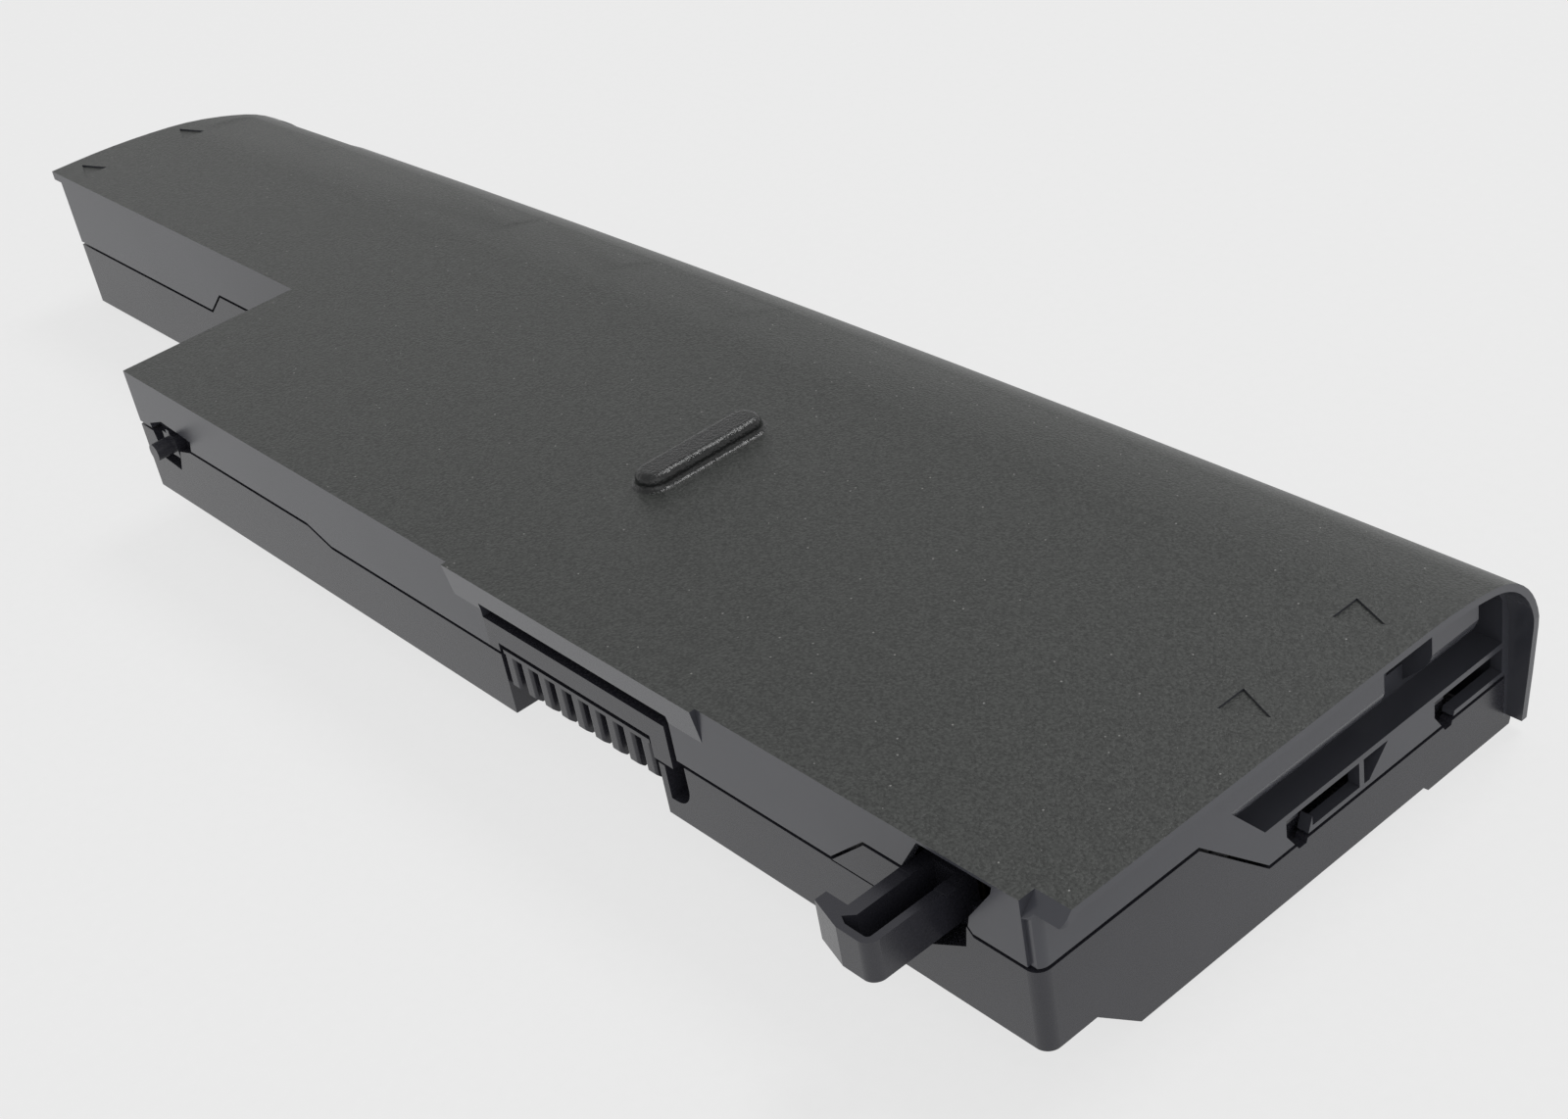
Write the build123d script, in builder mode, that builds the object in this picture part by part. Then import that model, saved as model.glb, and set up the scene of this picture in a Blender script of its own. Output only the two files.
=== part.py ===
from build123d import *
from math import asin, atan2, cos, degrees, sin, sqrt
import os

# Laptop battery pack, L-shaped in plan, lying with its grained outer face up.
# X runs along the pack, Y from the connector side to the rounded back, Z up.
# The origin lies under the middle of the pack, level with its lowest face.

os.makedirs("parts", exist_ok=True)

# Cells that the pack is built round, and the room left on each side of them
cell_size = 18.1
cell_length = 65.0
cell_first = 11.2
cell_gap = 1.0
cell_row_gap = 0.02
cell_wall_gap = 0.1
cell_top_gap = 1.1
cell_back_gap = 0.48
pad_thick = 0.5
board_room = 9.86
lead_room = 26.5
left_room = 34.8
wall = 1.4

# Bow of the back, seen from above
bow_radius = 3770.0
bow_from_right = 49.3

# Rows and columns of the cells, from the front face and from the right end
row_pitch = cell_size + cell_row_gap
row_front = board_room + cell_row_gap + cell_size / 2
row_mid = row_front + row_pitch
row_back = row_mid + row_pitch
columns = [cell_first + place * (cell_length + cell_gap) for place in range(3)]
column_ends = [start + cell_length for start in columns]
bow_fall = (column_ends[2] - bow_from_right) ** 2 / (2 * bow_radius)

# Overall sizes, which follow from the cells
pack_length = column_ends[2] + left_room
pack_depth = row_back + cell_size / 2 + cell_back_gap + bow_fall + wall
wide_length = column_ends[1] + lead_room
step_depth = row_mid - cell_size / 2 - cell_wall_gap - wall
body_height = 2 * wall + cell_size + cell_top_gap + pad_thick
rail_drop = 0.75
rail_from_back = 15.05
rail_depth = pack_depth - rail_from_back
seam_gap = 0.45
margin = 12.0
plan_overrun = 2.0

# Ends: the outer skin stands out past the end walls
overhang_right = 3.0
overhang_left = 2.3
left_round = 50.0
left_round_rise = 38.45
left_round_start = pack_depth - left_round_rise
corner_round = 1.5

# Sloped strip under the connector side of the wide part
strip_rise = 4.7
front_height = body_height - strip_rise
strip_flat = 6.3
strip_run = 5.4

# Back skin: a slight crown, the back turn and the tuck under, bowed in plan
crown_from_back = 17.95
crown_start = pack_depth - crown_from_back
crown_run = 10.8
crown_drop = 1.08
lip_clear = 0.05
lip_depth = body_height + rail_drop - wall - lip_clear
lip_tuck = 0.25
heel_set = 0.65

# Front hook
hook_reach = 9.0
hook_right = 14.6
hook_neck = 5.5
hook_lip = 2.9
hook_top = 5.0
hook_height = 4.75
hook_wall_right = 0.9
hook_wall_left = 1.6
hook_wall_front = 0.8
hook_facet = 1.25
hook_round = 1.4
hook_lip_set = 1.2

# Frame that follows from the sizes
right_x = pack_length / 2
front_y = (hook_reach - pack_depth) / 2
back_y = front_y + pack_depth
top_z = body_height + rail_drop
bow_x = right_x - bow_from_right
bow_y = back_y - bow_radius


def at_x(from_right):
    return right_x - from_right


def at_y(from_front):
    return front_y + from_front


def at_z(below_top):
    return top_z - below_top


def from_back(distance):
    return pack_depth - distance


# Section of the pack, turned about the far centre of the bow
crown_end = crown_start + crown_run
crown_angle = 2 * atan2(crown_drop, crown_run)
back_round = (pack_depth - crown_end) / (1 - sin(crown_angle))
back_full = crown_drop + back_round * cos(crown_angle)
heel_depth = pack_depth - heel_set
bow_start = asin((bow_from_right + margin) / bow_radius)
bow_end = asin((pack_length - bow_from_right + margin) / bow_radius)
section_plane = Plane(
    origin=(bow_x, bow_y, 0),
    x_dir=(sin(bow_start), cos(bow_start), 0),
    z_dir=(cos(bow_start), -sin(bow_start), 0),
)
bow_axis = Axis((bow_x, bow_y, 0), (0, 0, 1))
bow_swing = degrees(bow_start + bow_end)


def in_section(from_front, below_top):
    return (bow_radius - pack_depth + from_front, at_z(below_top))


def bowed_body(inset):
    """Solid of the whole section, drawn in by the inset on every side."""
    with BuildPart() as body:
        with BuildSketch(section_plane):
            with BuildLine():
                top_line = Line(in_section(-margin, 0), in_section(crown_start, 0))
                crown = TangentArc(top_line @ 1, in_section(crown_end, crown_drop), tangent=top_line % 1)
                turn = TangentArc(crown @ 1, in_section(pack_depth, back_full), tangent=crown % 1)
                lip_end = in_section(pack_depth - lip_tuck, lip_depth)
                tuck = TangentArc(turn @ 1, lip_end, tangent=turn % 1)
                heel = TangentArc(tuck @ 1, in_section(heel_depth, top_z), tangent=tuck % 1)
                Polyline(
                    heel @ 1,
                    in_section(rail_depth + rail_drop, top_z),
                    in_section(rail_depth, body_height),
                    in_section(-margin, body_height),
                    top_line @ 0,
                )
            make_face()
            if inset > 0:
                offset(amount=-inset, kind=Kind.INTERSECTION, mode=Mode.REPLACE)
        revolve(axis=bow_axis, revolution_arc=bow_swing)
    return body.part


def plan_column(trim_right, trim_left, inset):
    """Upright column over the L-shaped plan, with its ends trimmed and its sides drawn in."""
    end_x = at_x(trim_right)
    left_x = at_x(pack_length - trim_left)
    far_y = back_y + plan_overrun
    round_start = at_y(left_round_start)
    round_rise = far_y - round_start
    round_in = left_round - sqrt(left_round**2 - round_rise**2)
    step_x = at_x(wide_length)
    with BuildPart() as column:
        with BuildSketch():
            with BuildLine():
                side = Line((left_x, at_y(step_depth)), (left_x, round_start))
                bend = TangentArc(side @ 1, (left_x + round_in, far_y), tangent=side % 1)
                Polyline(
                    bend @ 1,
                    (end_x, far_y),
                    (end_x, front_y),
                    (step_x, front_y),
                    (step_x, at_y(step_depth)),
                    side @ 0,
                )
            make_face()
            front_right = vertices().group_by(Axis.Y)[0].sort_by(Axis.X)[-1]
            fillet(front_right, radius=corner_round)
            if inset > 0:
                offset(amount=-inset, kind=Kind.INTERSECTION, mode=Mode.REPLACE)
        extrude(amount=top_z + margin)
    return column.part


def front_strip(grow):
    """Space left free under the connector side, grown into the case by the given wall."""
    slope = (body_height - front_height) / strip_run
    far_drop = body_height + margin
    far_y = strip_flat + (far_drop - front_height) / slope
    with BuildPart() as strip:
        with BuildSketch(Plane.YZ.offset(at_x(wide_length) - margin)):
            with BuildLine():
                Polyline(
                    (at_y(-margin), at_z(far_drop)),
                    (at_y(-margin), at_z(front_height)),
                    (at_y(strip_flat), at_z(front_height)),
                    (at_y(far_y), at_z(far_drop)),
                    close=True,
                )
            make_face()
            if grow > 0:
                offset(amount=grow, kind=Kind.INTERSECTION, mode=Mode.REPLACE)
        extrude(amount=wide_length + 2 * margin)
    return strip.part


def block(right_from, right_to, front_from, front_to, top_from, top_to):
    """Upright box between distances from the right end, the front face and the top face."""
    size = (abs(right_to - right_from), abs(front_to - front_from), abs(top_to - top_from))
    mid_x = at_x((right_from + right_to) / 2)
    mid_y = at_y((front_from + front_to) / 2)
    mid_z = at_z((top_from + top_to) / 2)
    with BuildPart() as box:
        with Locations((mid_x, mid_y, mid_z)):
            Box(*size)
    return box.part


def front_plate(points, front_from, front_to):
    """Plate drawn on the front face by distances from the right end and the top."""
    with BuildPart() as plate:
        with BuildSketch(Plane.XZ.offset(-at_y(front_to))):
            with BuildLine():
                Polyline(*[(at_x(along), at_z(down)) for along, down in points], close=True)
            make_face()
        extrude(amount=front_to - front_from)
    return plate.part


def end_plate(points, right_from, right_to):
    """Plate drawn on the right end by distances from the front and the top."""
    with BuildPart() as plate:
        with BuildSketch(Plane.YZ.offset(at_x(right_to))):
            with BuildLine():
                Polyline(*[(at_y(along), at_z(down)) for along, down in points], close=True)
            make_face()
        extrude(amount=right_to - right_from)
    return plate.part


# Seam between the shells: its level steps on each side of the pack
seam_front_left = 7.9
seam_front_mid = 9.4
seam_front_hook = 4.7
seam_corner = 8.0
seam_end_back = 16.6
seam_step_1 = (125.6, 120.6)
seam_step_2 = (30.3, 24.9)
seam_step_3 = (14.0, 11.0)
seam_step_end = (from_back(48.35), from_back(39.05))
seam_narrow_left = 12.0
seam_narrow_right = 8.3
seam_step_narrow = (197.9, 193.7)
seam_front_zone = 14.0
seam_end_zone = 9.0
seam_left_zone = 8.0
seam_back_zone = 6.0
seam_back_level = lip_depth + seam_gap / 2
seam_floor_level = body_height - 2 * wall


def below_seam(shift, with_floor):
    """Everything under the seam, raised by the shift, with or without the floor region."""
    deep = top_z + margin
    left_edge = pack_length + margin
    step_face = wide_length + margin
    front_line = [
        (step_face, seam_front_left - shift),
        (seam_step_1[0], seam_front_left - shift),
        (seam_step_1[1], seam_front_mid - shift),
        (seam_step_2[0], seam_front_mid - shift),
        (seam_step_2[1], seam_front_hook - shift),
        (seam_step_3[0], seam_front_hook - shift),
        (seam_step_3[1], seam_corner - shift),
        (-margin, seam_corner - shift),
        (-margin, deep),
        (step_face, deep),
    ]
    narrow_line = [
        (left_edge, seam_narrow_left - shift),
        (seam_step_narrow[0], seam_narrow_left - shift),
        (seam_step_narrow[1], seam_narrow_right - shift),
        (wide_length - wall, seam_narrow_right - shift),
        (wide_length - wall, deep),
        (left_edge, deep),
    ]
    end_line = [
        (-margin, seam_corner - shift),
        (seam_step_end[0], seam_corner - shift),
        (seam_step_end[1], seam_end_back - shift),
        (pack_depth + margin, seam_end_back - shift),
        (pack_depth + margin, deep),
        (-margin, deep),
    ]
    step_to = step_depth + seam_front_zone
    left_from = pack_length - seam_left_zone
    with BuildPart() as region:
        add(front_plate(front_line, -margin, seam_front_zone))
        add(front_plate(narrow_line, step_depth - margin / 2, step_to))
        add(end_plate(end_line, -margin, seam_end_zone))
        add(block(left_from, left_edge, step_depth, pack_depth + margin, seam_narrow_left - shift, deep))
        add(block(wide_length - seam_front_zone, step_face, 0, step_depth, seam_front_left - shift, deep))
        if with_floor:
            back_from = from_back(seam_back_zone)
            add(block(-margin, left_edge, -margin, back_from, seam_floor_level, deep))
            add(block(-margin, left_edge, back_from, pack_depth + margin, seam_back_level - shift, deep))
    return region.part


# Shell of the whole pack before it is parted, and the space inside it
with BuildPart() as inner_space:
    add(bowed_body(wall))
    add(plan_column(overhang_right, overhang_left, wall), mode=Mode.INTERSECT)
    add(front_strip(wall), mode=Mode.SUBTRACT)

with BuildPart() as whole_shell:
    add(bowed_body(0))
    add(plan_column(overhang_right, overhang_left, 0), mode=Mode.INTERSECT)
    add(front_strip(0), mode=Mode.SUBTRACT)
    add(inner_space.part, mode=Mode.SUBTRACT)

# Outer skin: the top face and the back turn, reaching past both end walls
with BuildPart() as outer_skin:
    add(bowed_body(0))
    add(plan_column(0, 0, 0), mode=Mode.INTERSECT)
    add(bowed_body(wall), mode=Mode.SUBTRACT)
    add(
        block(-margin, pack_length + margin, -margin, pack_depth + margin, lip_depth, top_z + margin),
        mode=Mode.SUBTRACT,
    )
    # the floor in front of the back lip belongs to the case
    floor_back = from_back(seam_back_zone)
    add(
        block(-margin, pack_length + margin, -margin, floor_back, seam_floor_level, top_z + margin),
        mode=Mode.SUBTRACT,
    )

# Right end: thin rim, long groove over a rib, a raised pocket, and two snap windows
end_face = overhang_right
rim_skin = 0.85
rim_start = 2.5
rim_lean = 1.15
rim_lean_top = 8.5
rim_lean_from = from_back(10.0)
groove_top = 6.8
groove_foot = 12.1
groove_deep = 3.6
groove_near_top = from_back(43.85)
groove_near_foot = from_back(39.35)
groove_block = (from_back(45.05), 13.0)
groove_back = from_back(2.25)
groove_soft_start = (-0.25, -1)
groove_soft_end = (-0.9, -1)
panel_from = from_back(21.25)
panel_to = from_back(16.25)
panel_top = 2.2
slot_to = from_back(13.75)
slot_foot = 9.4
hollow_from = from_back(6.25)
rib_foot = 12.8
window_foot = 15.8
window_1 = (from_back(32.55), from_back(25.35))
window_1_far = (from_back(24.65), from_back(20.85), from_back(23.85))
window_2 = (from_back(10.85), from_back(2.25))
snap_1 = (from_back(36.35), from_back(31.85))
snap_2 = (from_back(13.45), from_back(9.05))
snap_foot = 17.3
snap_slant = 1.7
snap_shoulder = 2.55
pocket_wall = 1.1
groove_back_wall = end_face + groove_deep + pocket_wall
through = end_face + wall


def groove_cut(top, near_top, near_foot, far):
    """Groove with a soft hollow upper side, a sharp foot and a slanted near end."""
    inner_x = at_x(end_face + groove_deep)
    with BuildPart() as cut:
        with BuildSketch(Plane.XZ.offset(margin - at_y(near_top))):
            with BuildLine():
                outer_x = at_x(end_face - margin)
                face = Line((outer_x, at_z(groove_foot)), (outer_x, at_z(top)))
                lead = Line(face @ 1, (at_x(end_face), at_z(top)))
                soft = Spline(
                    (at_x(end_face), at_z(top)),
                    (inner_x, at_z(groove_foot - wall / 2)),
                    tangents=[groove_soft_start, groove_soft_end],
                )
                Polyline(soft @ 1, (inner_x, at_z(groove_foot)), face @ 0)
            make_face()
        extrude(amount=-(far - near_top + 2 * margin))
        outline = [(near_top, top), (far, top), (far, groove_foot), (near_foot, groove_foot)]
        add(end_plate(outline, -margin, end_face + margin), mode=Mode.INTERSECT)
    return cut.part


def snap_outline(span):
    """Outline of the opening round a snap, which narrows toward its foot."""
    return [
        (span[0], rib_foot),
        (span[1], rib_foot),
        (span[1] - snap_slant, snap_foot),
        (span[0] + snap_slant, snap_foot),
        (span[0], snap_foot - snap_shoulder),
    ]


# Connector opening in the front wall
comb_pitch = 3.05
comb_fins = 9
fin_width = 1.8
comb_right = 58.3
comb_width = comb_pitch * (comb_fins - 1) + fin_width
comb_left = comb_right + comb_width
comb_clear = 0.5
bump_span = (48.3, 92.0)
bump_fade = 4.3
bump_out = 0.7
slot_top = 3.4
hood_top = 5.3
hood_foot = 8.0
hood_left = comb_left + 2.4
opening = (53.7, hood_left)
leg_right = 54.8
leg_left = 57.9
leg_foot = 10.8
pocket = (comb_right - 2 * comb_clear, comb_left + comb_clear)
pocket_deep = 5.2
board_behind = 2.86
pocket_back = board_room - board_behind
side_notch = (52.7, 56.3)
side_notch_rise = 2.4
side_notch_foot = front_height - side_notch_rise
side_notch_deep = 2.4
side_notch_round = 2.8

# Hook notch and pin recess
notch_ceiling = 0.35
notch_deep = 7.4
notch_wall_thick = 1.0
notch_sides = [(7.9, 1.3), (11.2, 5.8), (12.4, 10.4), (20.0, 5.0)]
notch_outline = [(17.0, notch_ceiling), (7.6, notch_ceiling)] + notch_sides
hook_pit = [(18.6, hook_top), (11.4, hook_top), (12.2, 10.0), (18.6, 13.4)]
hook_pit_deep = 3.4
notch_back = (6.0, 22.0, notch_deep, notch_deep + notch_wall_thick)
notch_back_foot = 7.6
witness_line = (20.4, 30.3)
witness_drop = 9.5
witness_size = 0.2
pin_right = wide_length - 8.1
pin_drop = 8.6
pin_size = 2.4
pin_out = 2.6
pin_seat = 3.4
recess_shape = [(5.0, 7.0), (1.0, 5.5), (-6.6, 6.0), (-5.8, 8.0), (-2.2, 9.0), (-0.6, 12.4), (3.8, 12.0)]
pin_recess = [(pin_right + along, down) for along, down in recess_shape]

# Grip bar and triangular marks on the top face
bar_right = 85.2
bar_span = (22.4, 40.2)
bar_width = 4.4
bar_height = 1.8
bar_round = 1.0
bar_foot = 0.7
mark_depth = 0.25
mark_reach = 4.8
mark_half = 1.9
marks_right = [(3.4, 32.3), (3.9, 49.8)]
marks_left = [(pack_length - 2.6, 30.6), (pack_length - 4.9, 47.2)]


def mark_cut(tip_from_right, row, inward):
    """Triangular mark with a level floor, its tip turned to the end of the pack."""
    tip_x = at_x(tip_from_right)
    base_x = tip_x - inward * mark_reach
    with BuildPart() as cut:
        with BuildSketch(Plane.XY.offset(top_z - mark_depth)):
            with BuildLine():
                Polyline(
                    (tip_x, at_y(row)),
                    (base_x, at_y(row + mark_half)),
                    (base_x, at_y(row - mark_half)),
                    close=True,
                )
            make_face()
        extrude(amount=2 * mark_depth)
    return cut.part


# Grip bar on a plate sunk in the outer face, so that its foot runs out in a hollow
bar_mid = (at_x(bar_right), at_y((bar_span[0] + bar_span[1]) / 2))
bar_length = bar_span[1] - bar_span[0]

with BuildPart() as grip_bar:
    with BuildSketch(Plane.XY.offset(top_z - wall / 2)):
        with Locations(bar_mid):
            SlotOverall(bar_length + 4 * bar_foot, bar_width + 4 * bar_foot, rotation=90)
    extrude(amount=wall / 2)
    with BuildSketch(Plane.XY.offset(top_z)):
        with Locations(bar_mid):
            SlotOverall(bar_length, bar_width, rotation=90)
    extrude(amount=bar_height)
    foot_edges = edges(Select.LAST).group_by(Axis.Z)[0]
    fillet(foot_edges, radius=bar_foot)
    bar_face = faces().sort_by(Axis.Z)[-1]
    fillet(bar_face.edges(), radius=bar_round)

# Hollow under the skin at the right end: it leaves a thin rim that leans in toward its foot
with BuildPart() as rim_hollow:
    add(bowed_body(rim_skin))
    add(
        block(-margin, end_face, rim_start, pack_depth + margin, -margin, top_z + margin),
        mode=Mode.INTERSECT,
    )
    lean_foot = top_z + margin
    lean_cut = [
        (-margin, rim_lean_top),
        (0, rim_lean_top),
        (rim_lean, lip_depth),
        (rim_lean, lean_foot),
        (-margin, lean_foot),
    ]
    add(front_plate(lean_cut, rim_lean_from, pack_depth + margin))

# Thin-walled box behind the groove and wall behind the hook notch, kept inside the shell
with BuildPart() as groove_box:
    add(inner_space.part)
    add(
        block(0, groove_back_wall, groove_block[0], pack_depth, wall / 2, groove_block[1]),
        mode=Mode.INTERSECT,
    )

# Hollow at the far end of the groove, right up to the skin
with BuildPart() as end_hollow:
    add(bowed_body(wall))
    add(
        block(-margin, end_face + groove_deep, hollow_from, groove_back, 0, groove_foot),
        mode=Mode.INTERSECT,
    )

with BuildPart() as notch_wall:
    add(inner_space.part)
    add(block(*notch_back, 0, notch_back_foot), mode=Mode.INTERSECT)

# Top cover: outer face, back turn and upper walls, with everything cut into them
corner_panel = 4.3
corner_set = 0.4
corner_ledge = 2.0
corner_slope = [
    (-margin, -margin),
    (corner_ledge, -margin),
    (corner_ledge, 0),
    (0, corner_ledge),
    (-margin, corner_ledge),
]

with BuildPart() as top_cover:
    add(whole_shell.part)
    add(below_seam(seam_gap / 2, True), mode=Mode.SUBTRACT)
    # the front panel ends in a small step before the corner
    add(block(-margin, corner_panel, -margin, corner_set, corner_ledge, top_z), mode=Mode.SUBTRACT)
    add(outer_skin.part)
    add(end_plate(corner_slope, -margin, corner_panel), mode=Mode.SUBTRACT)
    add(rim_hollow.part, mode=Mode.SUBTRACT)
    add(groove_box.part)
    add(groove_cut(groove_top, groove_near_top, groove_near_foot, groove_back), mode=Mode.SUBTRACT)
    add(end_hollow.part, mode=Mode.SUBTRACT)
    # raised pocket over the groove, and the slot that opens from it into the pack
    add(
        block(-margin, end_face + groove_deep, panel_from, slot_to, panel_top, groove_foot),
        mode=Mode.SUBTRACT,
    )
    add(block(-margin, groove_back_wall, panel_to, slot_to, panel_top, slot_foot), mode=Mode.SUBTRACT)
    # snap windows through the end wall
    add(
        block(-margin, through, window_1[0], window_1[1], rib_foot, window_foot),
        mode=Mode.SUBTRACT,
    )
    far_window = [
        (window_1_far[0], rib_foot),
        (window_1_far[1], rib_foot),
        (window_1_far[2], window_foot),
        (window_1_far[0], window_foot),
    ]
    add(end_plate(far_window, -margin, through), mode=Mode.SUBTRACT)
    add(
        block(-margin, through, window_2[0], window_2[1], rib_foot, window_foot),
        mode=Mode.SUBTRACT,
    )
    add(end_plate(snap_outline(snap_1), -margin, through), mode=Mode.SUBTRACT)
    add(end_plate(snap_outline(snap_2), -margin, through), mode=Mode.SUBTRACT)
    # upright strip over the connector, which the wall meets at its foot, and the opening under it
    bump_shape = [(-bump_out, 0), (wall / 2, 0), (wall / 2, bump_fade), (0, bump_fade)]
    add(end_plate(bump_shape, *bump_span))
    add(block(*opening, -margin, wall + seam_gap, slot_top, leg_foot), mode=Mode.SUBTRACT)
    # notch over the hook with a wall behind it, and recess round the pin
    add(notch_wall.part)
    add(front_plate(notch_outline, -margin, notch_deep), mode=Mode.SUBTRACT)
    add(front_plate(pin_recess, -margin, wall), mode=Mode.SUBTRACT)
    add(grip_bar.part)
    # direction marks near both ends
    for tip, row in marks_right:
        add(mark_cut(tip, row, 1), mode=Mode.SUBTRACT)
    for tip, row in marks_left:
        add(mark_cut(tip, row, -1), mode=Mode.SUBTRACT)
top_cover.part.label = "top_cover"
export_step(top_cover.part, "parts/top_cover.step")

# Bottom case: floor, lower walls, seam tongue, hook, pin, connector pocket and snaps
tongue = 0.8
tongue_up = 1.2
tongue_down = 2.0
pocket_ledge = 9.8
leg_clear = 0.3
snap_thick = 1.1
snap_top = 13.4
snap_root = 19.0
snap_base = 17.6
snap_gap = 0.9
snap_nose = 0.3
snap_inset = 0.5
snap_nose_far = 1.5
snap_nose_foot = 14.6
hook_back = 4.4
hook_floor = 1.2
hook_tip_thick = 2.65
hook_nick = 1.0
hook_nick_span = (1.3, 2.3)
hook_left = hook_right + hook_neck
hook_tip = hook_left + hook_lip
hook_foot = hook_top + hook_height
hook_bed = (9.6, 22.0)
hook_bed_top = 8.75
hook_bed_foot = 14.0
pin_bed = (pin_right - 5.6, pin_right + 5.4)
pin_bed_top = 6.4
pin_bed_foot = 14.0
pin_fin = 0.8
pin_boss = 1.6
cell_bay = (wide_length - 28.7, pack_length - 29.0)

with BuildPart() as tongue_core:
    add(bowed_body(wall + tongue))
    add(plan_column(overhang_right, overhang_left, wall + tongue), mode=Mode.INTERSECT)
    add(front_strip(wall + tongue), mode=Mode.SUBTRACT)

with BuildPart() as tongue_ring:
    add(inner_space.part)
    add(tongue_core.part, mode=Mode.SUBTRACT)
    add(below_seam(tongue_up, False), mode=Mode.INTERSECT)
    add(below_seam(-tongue_down, False), mode=Mode.SUBTRACT)
    add(
        block(opening[0] - leg_clear, opening[1] + leg_clear, 0, pocket_back, 0, pocket_ledge),
        mode=Mode.SUBTRACT,
    )
    add(block(*notch_back[:2], 0, notch_back[3], 0, hook_top), mode=Mode.SUBTRACT)
    # the tongue leaves room for the cells along the narrow wall and for the box behind the groove
    add(block(*cell_bay, step_depth, step_depth + 2 * wall, 0, top_z), mode=Mode.SUBTRACT)
    add(
        block(0, seam_end_zone, groove_block[0] - seam_gap, pack_depth, 0, top_z),
        mode=Mode.SUBTRACT,
    )

# Beds that the inner features stand on, all kept inside the shell
snap_face = through + snap_gap

with BuildPart() as case_beds:
    add(block(side_notch[0] - wall, pocket[1] + wall, 0, pocket_back, pocket_ledge, top_z))
    add(block(*hook_bed, 0, hook_back, hook_bed_top, hook_bed_foot))
    add(block(*pin_bed, 0, pin_seat, pin_bed_top, pin_bed_foot))
    # each snap is an upright tongue on a foot that stands out from the end wall
    for span in (snap_1, snap_2):
        add(block(end_face, snap_face + snap_thick, *span, snap_base, snap_root))
        add(block(snap_face, snap_face + snap_thick, *span, snap_top, snap_root))
    add(inner_space.part, mode=Mode.INTERSECT)

# Notch beside the connector, rounded at the foot of its outer side
with BuildPart() as side_notch_cut:
    with BuildSketch(Plane.XZ.offset(-at_y(side_notch_deep))):
        with BuildLine():
            Polyline(
                (at_x(side_notch[1]), at_z(hood_top)),
                (at_x(side_notch[1]), at_z(side_notch_foot)),
                (at_x(side_notch[0]), at_z(side_notch_foot)),
                (at_x(side_notch[0]), at_z(hood_top)),
                close=True,
            )
        make_face()
        outer_foot = vertices().group_by(Axis.Y)[0].sort_by(Axis.X)[-1]
        fillet(outer_foot, radius=side_notch_round)
    extrude(amount=side_notch_deep + margin)

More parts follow.
